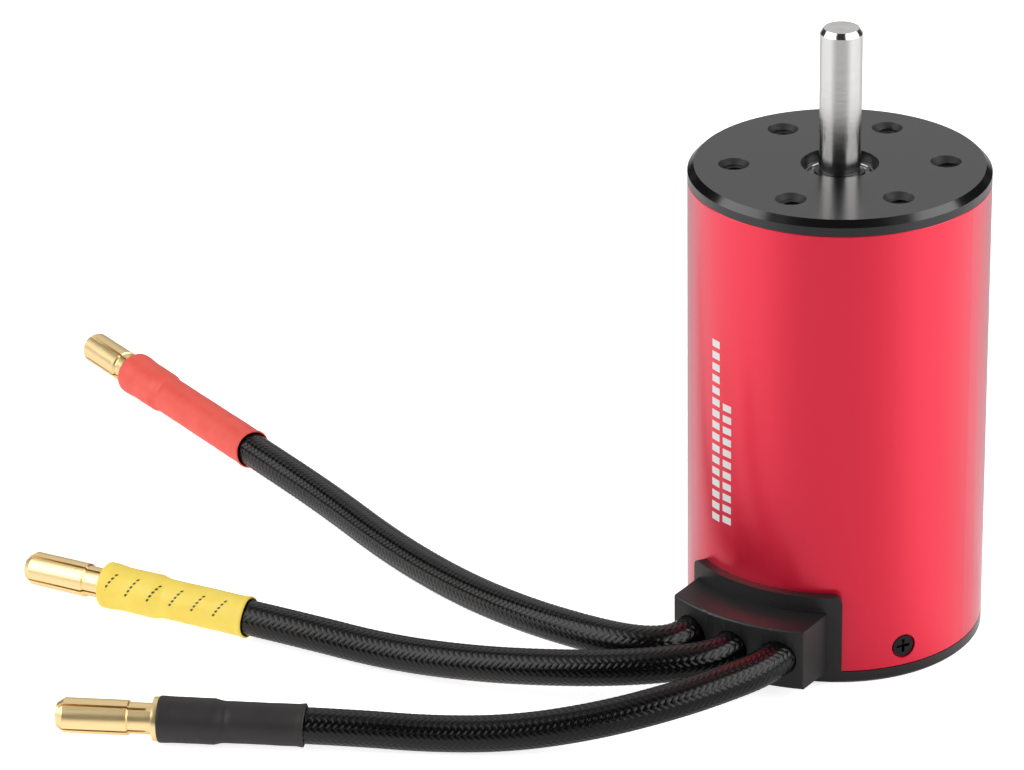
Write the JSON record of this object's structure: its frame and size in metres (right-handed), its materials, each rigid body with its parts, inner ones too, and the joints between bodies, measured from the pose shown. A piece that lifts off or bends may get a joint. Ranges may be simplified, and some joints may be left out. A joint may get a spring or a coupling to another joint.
{
  "type": "brushless inrunner motor",
  "caption": "Sealed brushless inner-rotor motor: cylindrical can, flat front face with a tapped bolt circle, round output shaft, side cable block and bullet-ended phase leads.",
  "frame": {"origin": "centre of the flat rear face, on the shaft axis", "axes": "+Z along the shaft, from the rear face to the output end; -Y is the side that the cable block is on"},
  "size_m": [0.1419, 0.095, 0.077],
  "materials": {
    "red_anodised": "satin",
    "black_anodised": "satin",
    "ground_steel": "ground",
    "bearing_steel": "polished",
    "black_screw": "blackened",
    "seal_rubber": "matte",
    "black_moulding": "fine moulded",
    "spring_steel": "plain",
    "lamination_steel": "stacked sheet",
    "white_insulator": "moulded",
    "liner_paper": "plain",
    "enamelled_copper": "enamelled wire",
    "magnet_nickel": "plated",
    "rotor_band_fibre": "wound fibre",
    "balance_brass": "turned",
    "cage_nylon": "moulded",
    "black_braid": "braided, glossy",
    "tinned_copper": "stranded",
    "red_shrink": "shrunk tube",
    "yellow_shrink": "shrunk tube",
    "black_shrink": "shrunk tube",
    "gilt": "polished gilt"
  },
  "bodies": {
    "housing": {"can": "red_anodised", "front_end_bell": "black_anodised", "rear_end_cap": "black_anodised", "front_o_ring": "seal_rubber", "rear_o_ring": "seal_rubber", "end_cap_screws": "black_screw", "cable_block": "black_moulding", "rear_wave_spring": "spring_steel", "stator_core": "lamination_steel", "front_insulator": "white_insulator", "rear_insulator": "white_insulator", "slot_liners": "liner_paper", "star_point_ring": "tinned_copper", "phase_splices": "tinned_copper", "coil_1": "enamelled_copper", "coil_2": "enamelled_copper", "coil_3": "enamelled_copper", "coil_4": "enamelled_copper", "coil_5": "enamelled_copper", "coil_6": "enamelled_copper", "front_bearing_outer_race": "bearing_steel", "front_bearing_shields": "bearing_steel", "rear_bearing_outer_race": "bearing_steel", "rear_bearing_shields": "bearing_steel", "red_lead_sleeve": "black_braid", "red_lead_conductor": "tinned_copper", "red_heat_shrink": "red_shrink", "red_bullet_plug": "gilt", "yellow_lead_sleeve": "black_braid", "yellow_lead_conductor": "tinned_copper", "yellow_heat_shrink": "yellow_shrink", "yellow_bullet_plug": "gilt", "black_lead_sleeve": "black_braid", "black_lead_conductor": "tinned_copper", "black_heat_shrink": "black_shrink", "black_bullet_plug": "gilt"},
    "rotor": {"shaft": "ground_steel", "shaft_snap_ring": "spring_steel", "rotor_core": "lamination_steel", "rotor_band": "rotor_band_fibre", "rear_balance_ring": "balance_brass", "front_balance_ring": "balance_brass", "rear_spacer": "ground_steel", "front_spacer": "ground_steel", "front_bearing_inner_race": "bearing_steel", "rear_bearing_inner_race": "bearing_steel", "magnet_1": "magnet_nickel", "magnet_2": "magnet_nickel", "magnet_3": "magnet_nickel", "magnet_4": "magnet_nickel"},
    "front_ball_set": {"front_bearing_balls": "bearing_steel", "front_bearing_cage": "cage_nylon"},
    "rear_ball_set": {"rear_bearing_balls": "bearing_steel", "rear_bearing_cage": "cage_nylon"}
  },
  "joints": [
    {"name": "rotor_spin", "type": "hinge", "parent": "housing", "child": "rotor", "pos_m": [0, 0, 0.03], "axis": [0, 0, 1], "continuous": true},
    {"name": "front_ball_spin", "type": "hinge", "parent": "housing", "child": "front_ball_set", "pos_m": [0, 0, 0.056], "axis": [0, 0, 1], "continuous": true},
    {"name": "rear_ball_spin", "type": "hinge", "parent": "housing", "child": "rear_ball_set", "pos_m": [0, 0, 0.0051], "axis": [0, 0, 1], "continuous": true}
  ],
  "couplings": [
    {"joint": "front_ball_spin", "follows": "rotor_spin", "ratio": 0.4},
    {"joint": "rear_ball_spin", "follows": "rotor_spin", "ratio": 0.4}
  ]
}
